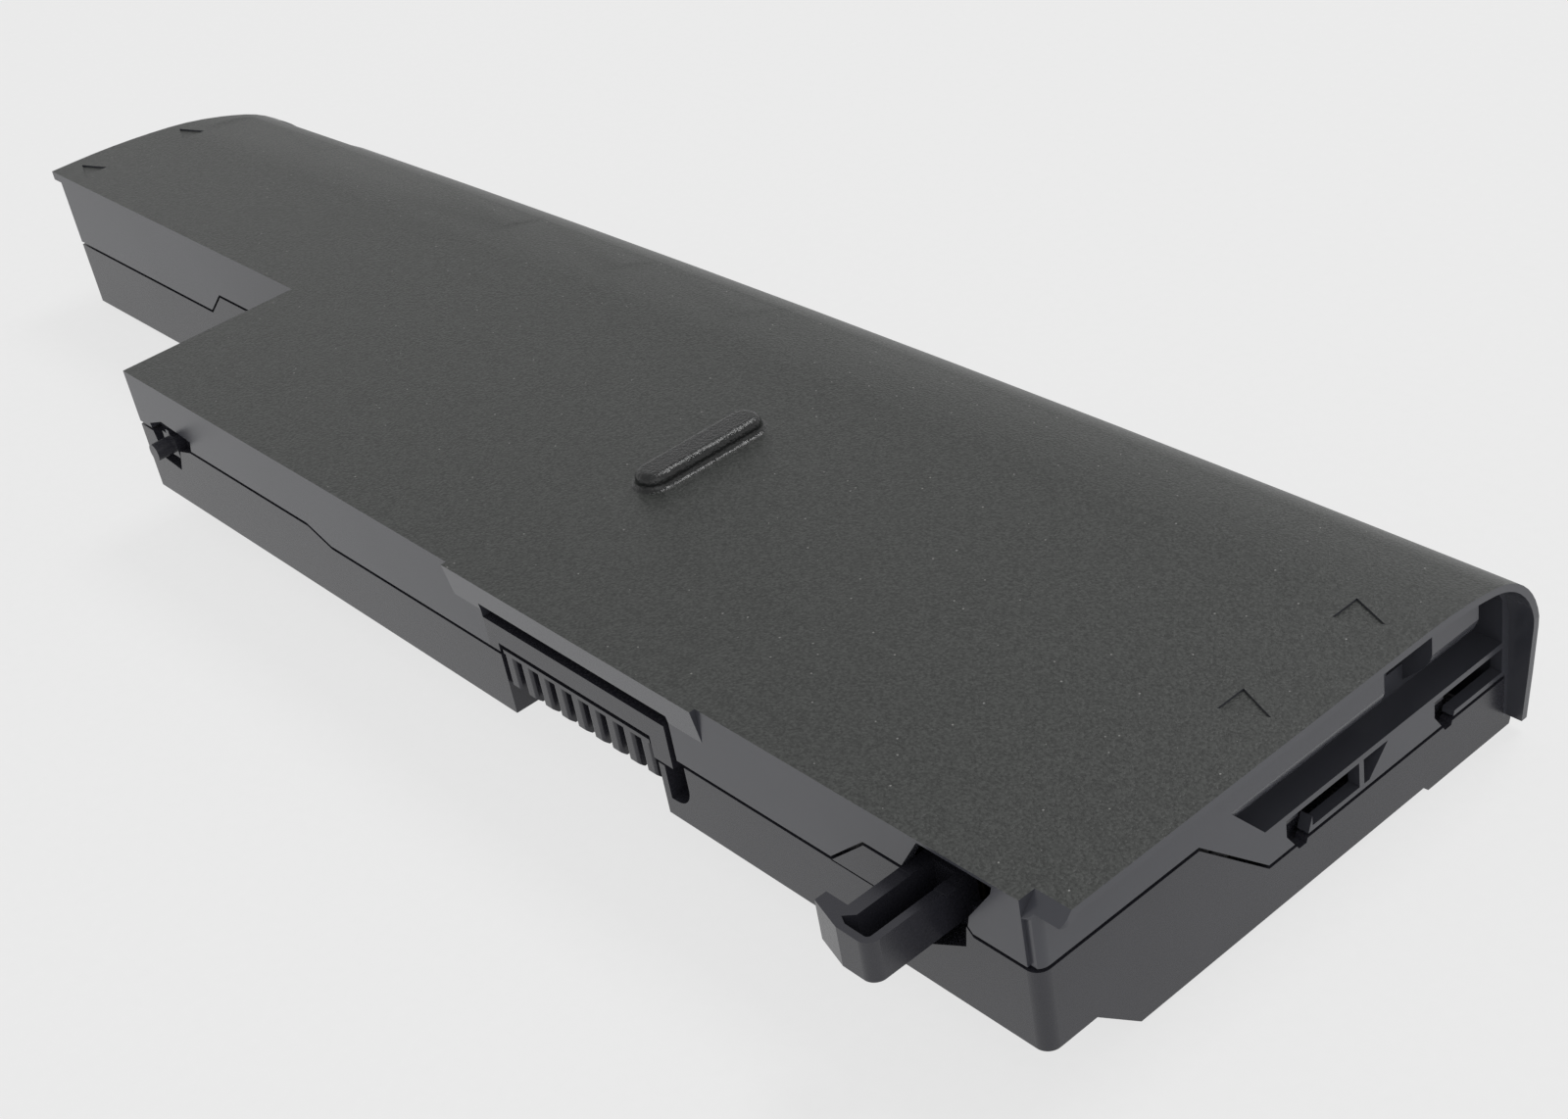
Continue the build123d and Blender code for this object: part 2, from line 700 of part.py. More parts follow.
with BuildPart() as bottom_case:
    add(whole_shell.part)
    add(below_seam(-seam_gap / 2, True), mode=Mode.INTERSECT)
    add(outer_skin.part, mode=Mode.SUBTRACT)
    add(end_plate(snap_outline(snap_1), -margin, through), mode=Mode.SUBTRACT)
    add(end_plate(snap_outline(snap_2), -margin, through), mode=Mode.SUBTRACT)
    add(front_plate(pin_recess, -margin, wall), mode=Mode.SUBTRACT)
    add(tongue_ring.part)
    add(case_beds.part)
    # connector pocket, open in front and below, and the notch beside it
    add(block(*pocket, -margin, pocket_deep, hood_top, top_z + margin), mode=Mode.SUBTRACT)
    add(side_notch_cut.part, mode=Mode.SUBTRACT)
    leg_room = (side_notch[0], pocket[0] + leg_clear)
    add(block(*leg_room, -margin, side_notch_deep, hood_top, leg_foot + leg_clear), mode=Mode.SUBTRACT)
    # pit under and beside the hook, and the faint line of the mould insert
    add(front_plate(hook_pit, -margin, hook_pit_deep), mode=Mode.SUBTRACT)
    witness_foot = witness_drop + witness_size
    add(block(*witness_line, -margin, witness_size, witness_drop, witness_foot), mode=Mode.SUBTRACT)
    # hook: a channel open on top whose end plate reaches past the neck
    with BuildSketch(Plane.XY.offset(at_z(hook_foot))):
        with BuildLine():
            Polyline(
                (at_x(hook_right), at_y(hook_back)),
                (at_x(hook_right), at_y(-hook_reach)),
                (at_x(hook_left - hook_facet), at_y(-hook_reach)),
                (at_x(hook_tip), at_y(hook_lip_set - hook_reach)),
                (at_x(hook_tip), at_y(hook_tip_thick - hook_reach)),
                (at_x(hook_left), at_y(hook_tip_thick - hook_reach)),
                (at_x(hook_left), at_y(hook_back)),
                close=True,
            )
        make_face()
        end_corners = vertices().group_by(Axis.Y)[0]
        fillet(end_corners.sort_by(Axis.X)[-1], radius=hook_round)
    extrude(amount=hook_height)
    with BuildSketch(Plane.XY.offset(at_z(hook_foot - hook_floor))):
        channel_right = at_x(hook_right + hook_wall_right)
        channel_left = at_x(hook_left - hook_wall_left)
        nick_left = at_x(hook_left - hook_wall_left + hook_nick)
        channel_back = at_y(hook_back - hook_wall_left)
        with BuildLine():
            Polyline(
                (channel_right, channel_back),
                (channel_right, at_y(hook_wall_front - hook_reach)),
                (channel_left, at_y(hook_wall_front - hook_reach)),
                (nick_left, at_y(hook_nick_span[0] - hook_reach)),
                (channel_left, at_y(hook_nick_span[1] - hook_reach)),
                (channel_left, channel_back),
                close=True,
            )
        make_face()
        front_corners = vertices().group_by(Axis.Y)[0]
        fillet(front_corners.sort_by(Axis.X)[-1], radius=hook_round - hook_wall_right)
    extrude(amount=hook_height, mode=Mode.SUBTRACT)
    # locating pin on a square boss, with a small fin over it
    boss_side = (pin_right - pin_boss, pin_right + pin_boss)
    add(block(*boss_side, 0, pin_seat, pin_drop - pin_boss, pin_drop + pin_boss))
    with BuildSketch(Plane.XZ.offset(-at_y(pin_seat))):
        with Locations((at_x(pin_right), at_z(pin_drop))):
            Circle(pin_size / 2)
    extrude(amount=pin_seat + pin_out)
    add(block(pin_right - pin_fin / 2, pin_right + pin_fin / 2, 0, pin_seat, pin_bed_top, pin_drop))
    # noses of the snaps, which catch behind the rib of the cover
    for span in (snap_1, snap_2):
        nose_side = (span[0] + snap_inset, span[1] - snap_nose_far)
        nose_deep = (through - snap_nose, snap_face + snap_thick / 2)
        add(block(*nose_deep, *nose_side, snap_top + snap_inset, snap_nose_foot))
bottom_case.part.label = "bottom_case"
export_step(bottom_case.part, "parts/bottom_case.step")

# Contacts: a fork blade in each comb slot with a tail through to the board
board_thick = 1.0
blade = (0.9, 0.3)
blade_span = (9.0, 13.2)
slot_back = 3.6
tail_width = 0.6
tail_thick = 0.5
tail_past = 0.4
slot_count = comb_fins - 1
slot_width = comb_pitch - fin_width
slot_mids = [comb_right + fin_width + slot_width / 2 + place * comb_pitch for place in range(slot_count)]

with BuildPart() as connector_contacts:
    tail_end = pocket_back + board_thick + tail_past
    for mid in slot_mids:
        add(block(mid - blade[0] / 2, mid + blade[0] / 2, slot_back - blade[1], slot_back, *blade_span))
        add(
            block(
                mid - tail_width / 2,
                mid + tail_width / 2,
                slot_back - blade[1],
                tail_end,
                blade_span[0],
                blade_span[0] + tail_thick,
            )
        )
connector_contacts.part.label = "connector_contacts"
export_step(connector_contacts.part, "parts/connector_contacts.step")

# Connector housing: hood and leg flush with the wall, and under a gap the bar that joins the fins
fin_front = 0.1
fin_back = 4.4
fin_corner = 0.4
fin_rise = 3.7
fin_foot = front_height - fin_rise
fin_slope = 0.6
comb_bar = (8.75, 9.3)
hood_web = 1.3
fin_mids = [comb_right + fin_width / 2 + place * comb_pitch for place in range(comb_fins)]

with BuildPart() as connector_housing:
    with BuildSketch(Plane.YZ.offset(at_x(comb_left))):
        with BuildLine():
            Polyline(
                (at_y(0), at_z(hood_top)),
                (at_y(pocket_back), at_z(hood_top)),
                (at_y(pocket_back), at_z(pocket_ledge)),
                (at_y(pocket_deep), at_z(pocket_ledge)),
                (at_y(pocket_deep), at_z(fin_foot)),
                (at_y(slot_back), at_z(fin_foot)),
                (at_y(slot_back), at_z(hood_top + hood_web)),
                (at_y(0), at_z(hood_top + hood_web)),
                close=True,
            )
        make_face()
    extrude(amount=comb_width)
    add(block(comb_right, comb_left, fin_front, fin_back, *comb_bar))
    with BuildSketch(Plane.XY.offset(at_z(fin_foot))):
        with Locations(*[(at_x(mid), at_y((fin_front + fin_back) / 2)) for mid in fin_mids]):
            RectangleRounded(fin_width, fin_back - fin_front, radius=fin_corner)
    extrude(amount=fin_foot - comb_bar[0])
    # the fins are sloped at the front of their feet
    foot_slope = [
        (-margin, fin_foot - fin_slope),
        (fin_front, fin_foot - fin_slope),
        (fin_front + fin_slope, fin_foot),
        (-margin, fin_foot),
    ]
    add(end_plate(foot_slope, comb_right - comb_clear, comb_left + comb_clear), mode=Mode.SUBTRACT)
    add(block(leg_right, hood_left, 0, wall, hood_top, hood_foot))
    add(block(leg_right, leg_left, 0, wall, hood_foot - seam_gap, leg_foot))
    hood_end = seam_front_mid - seam_gap / 2
    add(block(comb_left + seam_gap, hood_left, 0, wall, hood_foot - seam_gap, hood_end))
    add(connector_contacts.part, mode=Mode.SUBTRACT)
connector_housing.part.label = "connector_housing"
export_step(connector_housing.part, "parts/connector_housing.step")

# Cells: three columns; the two back rows run the whole length, the front row two columns
cell_drop = wall + cell_top_gap + cell_size / 2
bead_from_cap = 4.6
bead_at = cell_length - bead_from_cap
bead_run = 1.8
bead_deep = 0.7
cap_size = 6.4
cap_rise = 0.4
ring_thick = 0.3
ring_inner = 7.2
ring_outer = 16.6
# each place: column start, row, and whether the positive end faces the right end
cell_places = [
    (columns[2], row_mid, True),
    (columns[2], row_back, True),
    (columns[1], row_mid, True),
    (columns[1], row_back, True),
    (columns[0], row_mid, True),
    (columns[0], row_back, True),
    (columns[0], row_front, False),
    (columns[1], row_front, False),
]


def cell_plane(start, row, plus_right):
    """Plane at the negative end of a cell, its normal across the cell axis."""
    foot = start + cell_length if plus_right else start
    turn = 1 if plus_right else -1
    return Plane(origin=(at_x(foot), at_y(row), at_z(cell_drop)), x_dir=(turn, 0, 0), z_dir=(0, -1, 0))


radius = cell_size / 2
shoulder = cell_length - cap_rise

with BuildPart() as cell_body:
    with BuildSketch():
        with BuildLine():
            Polyline(
                (0, 0),
                (0, radius),
                (bead_at, radius),
                (bead_at + bead_run / 2, radius - bead_deep),
                (bead_at + bead_run, radius),
                (shoulder, radius),
                (shoulder, cap_size / 2),
                (cell_length, cap_size / 2),
                (cell_length, 0),
                close=True,
            )
        make_face()
    revolve(axis=Axis.X)

for number, place in enumerate(cell_places, start=1):
    with BuildPart() as cell:
        with Locations(Location(cell_plane(*place))):
            add(cell_body.part)
    cell.part.label = f"cell_{number}"
    export_step(cell.part, f"parts/cell_{number}.step")

# Insulating rings round the positive caps
with BuildPart() as cell_rings:
    for start, row, plus_right in cell_places:
        shoulder = start + cap_rise if plus_right else start + cell_length - cap_rise
        outward = 1 if plus_right else -1
        with BuildSketch(Plane.YZ.offset(at_x(shoulder))):
            with Locations((at_y(row), at_z(cell_drop))):
                Circle(ring_outer / 2)
                Circle(ring_inner / 2, mode=Mode.SUBTRACT)
        extrude(amount=outward * ring_thick)
cell_rings.part.label = "cell_rings"
export_step(cell_rings.part, "parts/cell_rings.step")

# Nickel strips: four pairs of cells in series
strip_thick = 0.2
strip_half = 4.0
strip_band = (cell_drop - strip_half, cell_drop + strip_half)
pair_span = (row_mid - strip_half, row_back + strip_half)
row_end = row_front + strip_half
strip_fold = 7.4
fold_front = row_mid - strip_fold
lead_tab_front = step_depth + 1.5
lead_tab_band = (3.4, 8.0)
lead_tab_lap = 1.0
arm_half = 2.0
arm_back = row_front - cell_size / 2 - cell_row_gap
arm_front = arm_back - strip_thick
arm_low = (cell_drop - arm_half, cell_drop + arm_half)
arm_high = (4.5, 8.0)
arm_clear = 0.4

with BuildPart() as tab_start:
    sheet = (column_ends[2], column_ends[2] + strip_thick)
    lap = (pair_span[0] - lead_tab_lap, pair_span[0] + lead_tab_lap)
    add(block(*sheet, *pair_span, *strip_band))
    add(block(*sheet, lead_tab_front, pair_span[0], *lead_tab_band))
    add(block(*sheet, *lap, lead_tab_band[0], cell_drop))
tab_start.part.label = "tab_start"
export_step(tab_start.part, "parts/tab_start.step")

for number, (near, far) in enumerate([(column_ends[1], columns[2]), (column_ends[0], columns[1])], start=1):
    with BuildPart() as tab_link:
        add(block(near, near + strip_thick, fold_front, pair_span[1], *strip_band))
        add(block(far - strip_thick, far, fold_front, pair_span[1], *strip_band))
        add(block(near, far, fold_front, fold_front + strip_thick, *strip_band))
    tab_link.part.label = f"tab_link_{number}"
    export_step(tab_link.part, f"parts/tab_link_{number}.step")

with BuildPart() as tab_link_3:
    end_x = columns[0]
    gap_x = columns[1]
    add(block(end_x - strip_thick, end_x, row_front - strip_half, pair_span[1], *strip_band))
    add(block(end_x - strip_thick, end_x, arm_front, row_front, *arm_low))
    add(block(end_x - strip_thick, gap_x, arm_front, arm_back, *arm_low))
    add(block(gap_x - strip_thick, gap_x, arm_front, row_end, *arm_low))
tab_link_3.part.label = "tab_link_3"
export_step(tab_link_3.part, "parts/tab_link_3.step")

with BuildPart() as tab_end:
    near_x = column_ends[0]
    far_x = column_ends[1]
    add(block(near_x, near_x + strip_thick, arm_back + arm_clear, row_end, arm_high[0], strip_band[1]))
    add(block(near_x, near_x + strip_thick, arm_front, row_front, *arm_high))
    add(block(near_x, far_x + strip_thick, arm_front, arm_back, *arm_high))
    add(block(far_x, far_x + strip_thick, arm_front, row_end, arm_high[0], strip_band[1]))
tab_end.part.label = "tab_end"
export_step(tab_end.part, "parts/tab_end.step")

# Protection board behind the connector, with its parts on the front side
board_span = (24.0, 112.0)
board_lift = 1.8
board_drop = (3.2, front_height - board_lift)
board_face = pocket_back

with BuildPart() as protection_board:
    add(block(*board_span, board_face, board_face + board_thick, *board_drop))
    add(connector_contacts.part, mode=Mode.SUBTRACT)
protection_board.part.label = "protection_board"
export_step(protection_board.part, "parts/protection_board.step")

chip_size = (8.0, 8.0, 1.2)
chip_clear = 2.2
chip_at = (comb_left + chip_clear, 5.6)
switch_size = (5.0, 6.0, 1.6)
switch_at = [(33.0, 5.6), (40.0, 5.6)]
fuse_size = (4.0, 3.2, 1.1)
fuse_at = (27.4, 6.6)
sense_size = (3.2, 6.4, 0.7)
sense_at = (46.6, 5.4)
capacitor_size = (0.9, 1.6, 0.8)
capacitor_clear = 0.6
capacitor_first = (chip_at[0] + chip_size[0] + capacitor_clear, 5.6)
capacitor_pitch = 2.4
capacitor_grid = (2, 3)


def board_part(size, place):
    """Box standing on the front side of the board."""
    along, down = place
    wide, tall, thick = size
    return block(along, along + wide, board_face - thick, board_face, down, down + tall)


with BuildPart() as gauge_chip:
    add(board_part(chip_size, chip_at))
gauge_chip.part.label = "gauge_chip"
export_step(gauge_chip.part, "parts/gauge_chip.step")

with BuildPart() as switch_transistors:
    for place in switch_at:
        add(board_part(switch_size, place))
switch_transistors.part.label = "switch_transistors"
export_step(switch_transistors.part, "parts/switch_transistors.step")

with BuildPart() as chip_fuse:
    add(board_part(fuse_size, fuse_at))
chip_fuse.part.label = "chip_fuse"
export_step(chip_fuse.part, "parts/chip_fuse.step")

with BuildPart() as sense_resistor:
    add(board_part(sense_size, sense_at))
sense_resistor.part.label = "sense_resistor"
export_step(sense_resistor.part, "parts/sense_resistor.step")

with BuildPart() as board_capacitors:
    for across in range(capacitor_grid[0]):
        for down in range(capacitor_grid[1]):
            along = capacitor_first[0] + across * capacitor_pitch
            drop = capacitor_first[1] + down * capacitor_pitch
            add(board_part(capacitor_size, (along, drop)))
board_capacitors.part.label = "board_capacitors"
export_step(board_capacitors.part, "parts/board_capacitors.step")

# Heat sensor and heat cut-out, each lying in the valley between two rows of cells
thermistor_size = 2.2
thermistor_length = 5.0
thermistor_right = 116.0
cutoff_size = 3.2
cutoff_length = 9.0
cutoff_right = 34.0


def valley_rod(row_a, row_b, size, right, length):
    """Rod resting on two neighbouring rows of cells."""
    reach = (cell_size + size) / 2
    rise = sqrt(reach**2 - ((row_b - row_a) / 2) ** 2)
    with BuildPart() as rod:
        with BuildSketch(Plane.YZ.offset(at_x(right + length))):
            with Locations((at_y((row_a + row_b) / 2), at_z(cell_drop) + rise)):
                Circle(size / 2)
        extrude(amount=length)
    return rod.part


with BuildPart() as thermistor:
    add(valley_rod(row_mid, row_back, thermistor_size, thermistor_right, thermistor_length))
thermistor.part.label = "thermistor"
export_step(thermistor.part, "parts/thermistor.step")

with BuildPart() as thermal_cutoff:
    add(valley_rod(row_front, row_mid, cutoff_size, cutoff_right, cutoff_length))
thermal_cutoff.part.label = "thermal_cutoff"
export_step(thermal_cutoff.part, "parts/thermal_cutoff.step")

# Leads from the strips to the board
power_size = 1.6
sense_wire = 0.8
power_bend = 1.6
sense_bend = 0.8
power_y = board_face - power_size / 2
sense_y = board_face - sense_wire / 2
lead_lap = 2.0
board_left = board_span[1] - lead_lap
start_drop = 4.2
start_row = step_depth + 2.9
cross_right = wide_length - 10.7
end_drop = 9.0
end_lead_right = column_ends[1] + strip_thick + power_size / 2


def lead(points, size, bend):
    """Round lead along a path of distances from the right end, the front and the top."""
    corners = [(at_x(along), at_y(front), at_z(down)) for along, front, down in points]
    with BuildPart() as wire:
        with BuildLine() as path:
            FilletPolyline(*corners, radius=bend)
        with BuildSketch(Plane(origin=path.line @ 0, z_dir=path.line % 0)):
            Circle(size / 2)
        sweep(path=path.line)
    return wire.part


with BuildPart() as power_leads:
    add(
        lead(
            [
                (column_ends[2], start_row, start_drop),
                (cross_right, start_row, start_drop),
                (cross_right, power_y, start_drop),
                (board_left, power_y, start_drop),
            ],
            power_size,
            power_bend,
        )
    )
    add(
        lead(
            [
                (end_lead_right, row_front, end_drop),
                (end_lead_right, power_y, end_drop),
                (board_left, power_y, end_drop),
            ],
            power_size,
            power_bend,
        )
    )
power_leads.part.label = "power_leads"
export_step(power_leads.part, "parts/power_leads.step")

gap_1 = column_ends[1] + cell_gap / 2
gap_2 = column_ends[0] + cell_gap / 2
sense_cross_1 = wide_length - 21.7
sense_cross_2 = wide_length - 18.7
sense_step = 3.2
sense_drop_1 = 11.2
sense_drop_2 = 7.95
sense_drop_3 = 13.4
valley_y = (row_front + row_mid) / 2
link_3_x = columns[0] - strip_thick - sense_wire / 2
board_right = board_span[0] + lead_lap
link_3_row = row_front - 3.5
link_3_drop = 13.0

with BuildPart() as sense_leads:
    add(
        lead(
            [
                (gap_1, fold_front, sense_drop_1),
                (gap_1, fold_front - sense_step, sense_drop_1),
                (sense_cross_1, fold_front - 2 * sense_step, sense_drop_1),
                (sense_cross_1, sense_y, sense_drop_1),
                (board_left, sense_y, sense_drop_1),
            ],
            sense_wire,
            sense_bend,
        )
    )
    add(
        lead(
            [
                (gap_2, fold_front, sense_drop_2),
                (gap_2, valley_y, sense_drop_2),
                (sense_cross_2, valley_y, sense_drop_2),
                (sense_cross_2, valley_y - 2 * sense_step, sense_drop_3),
                (sense_cross_2, sense_y, sense_drop_3),
                (board_left, sense_y, sense_drop_3),
            ],
            sense_wire,
            sense_bend,
        )
    )
    add(
        lead(
            [
                (link_3_x, link_3_row, link_3_drop),
                (link_3_x, sense_y, link_3_drop),
                (board_right, sense_y, link_3_drop),
            ],
            sense_wire,
            sense_bend,
        )
    )
sense_leads.part.label = "sense_leads"
export_step(sense_leads.part, "parts/sense_leads.step")

# Foam pads under the rows and the card between the board and the cells
pad_half = 3.0
pad_ends = 4.0
card_thick = 0.3
card_span = (20.0, 140.0)
card_drop = (4.0, front_height - board_lift)

with BuildPart() as cell_pads:
    pad_top = cell_drop + cell_size / 2
    for row, last in ((row_front, column_ends[1]), (row_mid, column_ends[2]), (row_back, column_ends[2])):
        add(block(cell_first + pad_ends, last - pad_ends, row - pad_half, row + pad_half, pad_top, top_z))
    add(inner_space.part, mode=Mode.INTERSECT)
cell_pads.part.label = "cell_pads"
export_step(cell_pads.part, "parts/cell_pads.step")

with BuildPart() as insulation_card:
    add(block(*card_span, arm_front - card_thick, arm_front, *card_drop))
insulation_card.part.label = "insulation_card"
export_step(insulation_card.part, "parts/insulation_card.step")
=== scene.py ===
from math import radians

import bpy
import bmesh
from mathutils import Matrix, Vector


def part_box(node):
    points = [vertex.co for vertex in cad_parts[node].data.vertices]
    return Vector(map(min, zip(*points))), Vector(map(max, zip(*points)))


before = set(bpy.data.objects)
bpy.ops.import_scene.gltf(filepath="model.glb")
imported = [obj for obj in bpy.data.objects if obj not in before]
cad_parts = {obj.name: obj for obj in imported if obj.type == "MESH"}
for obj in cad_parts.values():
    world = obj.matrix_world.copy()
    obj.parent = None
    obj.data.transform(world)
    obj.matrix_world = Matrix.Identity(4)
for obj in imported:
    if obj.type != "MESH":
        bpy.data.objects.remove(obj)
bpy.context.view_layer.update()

# Bottom case: the tray that carries everything, with its floor, lower walls, hook, pin and snaps.
# It is injection moulded in dark ABS, and its steel mould is only finely stoned, so it comes out satin.
mm = 0.001


def linear(hex_colour):
    """Linear colour of an sRGB hex value, with full cover."""
    parts = [int(hex_colour[i:i + 2], 16) / 255 for i in (1, 3, 5)]
    return [c / 12.92 if c <= 0.04045 else ((c + 0.055) / 1.055) ** 2.4 for c in parts] + [1.0]


def add_node(tree, kind, links=None, **settings):
    """Adds one node: settings are its own fields, links are values or sockets for its inputs."""
    made = tree.nodes.new(kind)
    for field, value in settings.items():
        setattr(made, field, value)
    for name, value in (links or {}).items():
        if isinstance(value, bpy.types.NodeSocket):
            tree.links.new(value, made.inputs[name])
        else:
            made.inputs[name].default_value = value
    return made


def new_finish(name):
    """An empty material with its shader, ready for the nodes of one finish."""
    finish = bpy.data.materials.new(name)
    finish.use_nodes = True
    return finish, finish.node_tree, finish.node_tree.nodes["Principled BSDF"]


def dress(finish, *names):
    """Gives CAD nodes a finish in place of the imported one."""
    for name in names:
        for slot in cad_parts[name].material_slots:
            slot.material = finish


# moulded ABS from a stoned steel mould: satin, with a faint cloud from the flow and fine stoning marks
flow_cloud = 14 * mm
stone_grit = 0.35 * mm
stone_depth = 0.02 * mm
satin_abs, tree, shader = new_finish("satin_moulded_abs")
place = add_node(tree, "ShaderNodeTexCoord")
flow = add_node(tree, "ShaderNodeTexNoise", {
    "Vector": place.outputs["Object"], "Scale": 1 / flow_cloud, "Detail": 3.0})
tone = add_node(tree, "ShaderNodeValToRGB", {"Fac": flow.outputs["Fac"]})
tone.color_ramp.elements[0].position = 0.3
tone.color_ramp.elements[0].color = linear("#29292f")
tone.color_ramp.elements[1].position = 0.7
tone.color_ramp.elements[1].color = linear("#2f2f35")
tree.links.new(tone.outputs["Color"], shader.inputs["Base Color"])
stoned = add_node(tree, "ShaderNodeTexNoise", {
    "Vector": place.outputs["Object"], "Scale": 1 / stone_grit, "Detail": 2.0})
matt = add_node(tree, "ShaderNodeMapRange", {
    "Value": stoned.outputs["Fac"], "To Min": 0.22, "To Max": 0.32})
tree.links.new(matt.outputs["Result"], shader.inputs["Roughness"])
ripple = add_node(tree, "ShaderNodeBump", {
    "Height": stoned.outputs["Fac"], "Strength": 0.06, "Distance": stone_depth})
tree.links.new(ripple.outputs["Normal"], shader.inputs["Normal"])
shader.inputs["IOR"].default_value = 1.5
dress(satin_abs, "bottom_case")

# Foam pads: strips of closed-cell foam glued to the floor under each row of cells.
# They are cut from black sheet, so their faces show small open cells.
foam_cell = 0.5 * mm
foam_dent = 0.1 * mm
foam, tree, shader = new_finish("closed_cell_foam")
place = add_node(tree, "ShaderNodeTexCoord")
pores = add_node(tree, "ShaderNodeTexVoronoi", {
    "Vector": place.outputs["Object"], "Scale": 1 / foam_cell})
tone = add_node(tree, "ShaderNodeValToRGB", {"Fac": pores.outputs["Distance"]})
tone.color_ramp.elements[0].color = linear("#1d1d1e")
tone.color_ramp.elements[1].color = linear("#39393a")
tree.links.new(tone.outputs["Color"], shader.inputs["Base Color"])
dents = add_node(tree, "ShaderNodeBump", {
    "Height": pores.outputs["Distance"], "Strength": 0.4, "Distance": foam_dent})
tree.links.new(dents.outputs["Normal"], shader.inputs["Normal"])
shader.inputs["Roughness"].default_value = 0.9
dress(foam, "cell_pads")

# Cells: round steel cans in a shrunk PVC sleeve, eight of them in three rows.
# The sleeve is thin, glossy film, so it shows slight waves along the can.
film_wave = 6 * mm
film_rise = 0.1 * mm
sleeve, tree, shader = new_finish("shrunk_pvc_sleeve")
place = add_node(tree, "ShaderNodeTexCoord")
waves = add_node(tree, "ShaderNodeTexNoise", {
    "Vector": place.outputs["Object"], "Scale": 1 / film_wave, "Detail": 2.0})
tone = add_node(tree, "ShaderNodeValToRGB", {"Fac": waves.outputs["Fac"]})
tone.color_ramp.elements[0].color = linear("#25594f")
tone.color_ramp.elements[1].color = linear("#2f6a5e")
tree.links.new(tone.outputs["Color"], shader.inputs["Base Color"])
film = add_node(tree, "ShaderNodeBump", {
    "Height": waves.outputs["Fac"], "Strength": 0.15, "Distance": film_rise})
tree.links.new(film.outputs["Normal"], shader.inputs["Normal"])
shader.inputs["Roughness"].default_value = 0.28
shader.inputs["IOR"].default_value = 1.53
dress(sleeve, *[f"cell_{number}" for number in range(1, 9)])

# Insulating rings: punched from barley-coloured paper and stuck round each positive cap.
# The card between the board and the cells is the same fibre paper in a thicker sheet.
fibre_clump = 0.8 * mm
fibre_paper, tree, shader = new_finish("fibre_paper")
place = add_node(tree, "ShaderNodeTexCoord")
fibres = add_node(tree, "ShaderNodeTexNoise", {
    "Vector": place.outputs["Object"], "Scale": 1 / fibre_clump, "Detail": 6.0})
tone = add_node(tree, "ShaderNodeValToRGB", {"Fac": fibres.outputs["Fac"]})
tone.color_ramp.elements[0].color = linear("#b9b096")
tone.color_ramp.elements[1].color = linear("#d6cfb8")
tree.links.new(tone.outputs["Color"], shader.inputs["Base Color"])
shader.inputs["Roughness"].default_value = 0.85
dress(fibre_paper, "cell_rings", "insulation_card")

# Nickel strips: rolled ribbon, spot welded across the cell ends to join them in series.
# Rolling leaves fine lines along the strip and a soft grey shine.
roll_line = 1.5 * mm
line_stretch = (1, 1, 12)
nickel, tree, shader = new_finish("rolled_nickel")
place = add_node(tree, "ShaderNodeTexCoord")
rolled = add_node(tree, "ShaderNodeMapping", {
    "Vector": place.outputs["Object"], "Scale": line_stretch})
lines = add_node(tree, "ShaderNodeTexNoise", {
    "Vector": rolled.outputs["Vector"], "Scale": 1 / roll_line, "Detail": 3.0})
matt = add_node(tree, "ShaderNodeMapRange", {
    "Value": lines.outputs["Fac"], "To Min": 0.25, "To Max": 0.5})
tree.links.new(matt.outputs["Result"], shader.inputs["Roughness"])
shader.inputs["Base Color"].default_value = linear("#b9b4a8")
shader.inputs["Metallic"].default_value = 1.0
dress(nickel, "tab_start", "tab_link_1", "tab_link_2", "tab_link_3", "tab_end", "thermal_cutoff")

# Protection board: glass-fibre laminate under green solder mask, upright behind the front wall.
# The mask pulls thin over the copper, so the green is uneven.
copper_patch = 9 * mm
solder_mask, tree, shader = new_finish("green_solder_mask")
place = add_node(tree, "ShaderNodeTexCoord")
copper = add_node(tree, "ShaderNodeTexBrick", {
    "Vector": place.outputs["Object"], "Scale": 1 / copper_patch,
    "Color1": linear("#1c5233"), "Color2": linear("#205a39"), "Mortar": linear("#153f28")})
tree.links.new(copper.outputs["Color"], shader.inputs["Base Color"])
shader.inputs["Roughness"].default_value = 0.35
dress(solder_mask, "protection_board")

# Board parts: black moulded resin for the chips, white ceramic for the fuse, tan for the capacitors.
# They are all pressed or moulded, so their faces are plain and slightly grainy.
pressed_grit = 0.3 * mm
for finish_name, dark, light, roughness, names in [
    ("moulded_resin", "#161617", "#222223", 0.5,
     ["gauge_chip", "switch_transistors", "sense_resistor", "thermistor"]),
    ("fired_ceramic", "#c9c8c0", "#dcdbd5", 0.6, ["chip_fuse"]),
    ("capacitor_ceramic", "#8a6a48", "#9c7b57", 0.5, ["board_capacitors"]),
]:
    pressed, tree, shader = new_finish(finish_name)
    place = add_node(tree, "ShaderNodeTexCoord")
    grit = add_node(tree, "ShaderNodeTexNoise", {
        "Vector": place.outputs["Object"], "Scale": 1 / pressed_grit})
    tone = add_node(tree, "ShaderNodeValToRGB", {"Fac": grit.outputs["Fac"]})
    tone.color_ramp.elements[0].color = linear(dark)
    tone.color_ramp.elements[1].color = linear(light)
    tree.links.new(tone.outputs["Color"], shader.inputs["Base Color"])
    shader.inputs["Roughness"].default_value = roughness
    dress(pressed, *names)

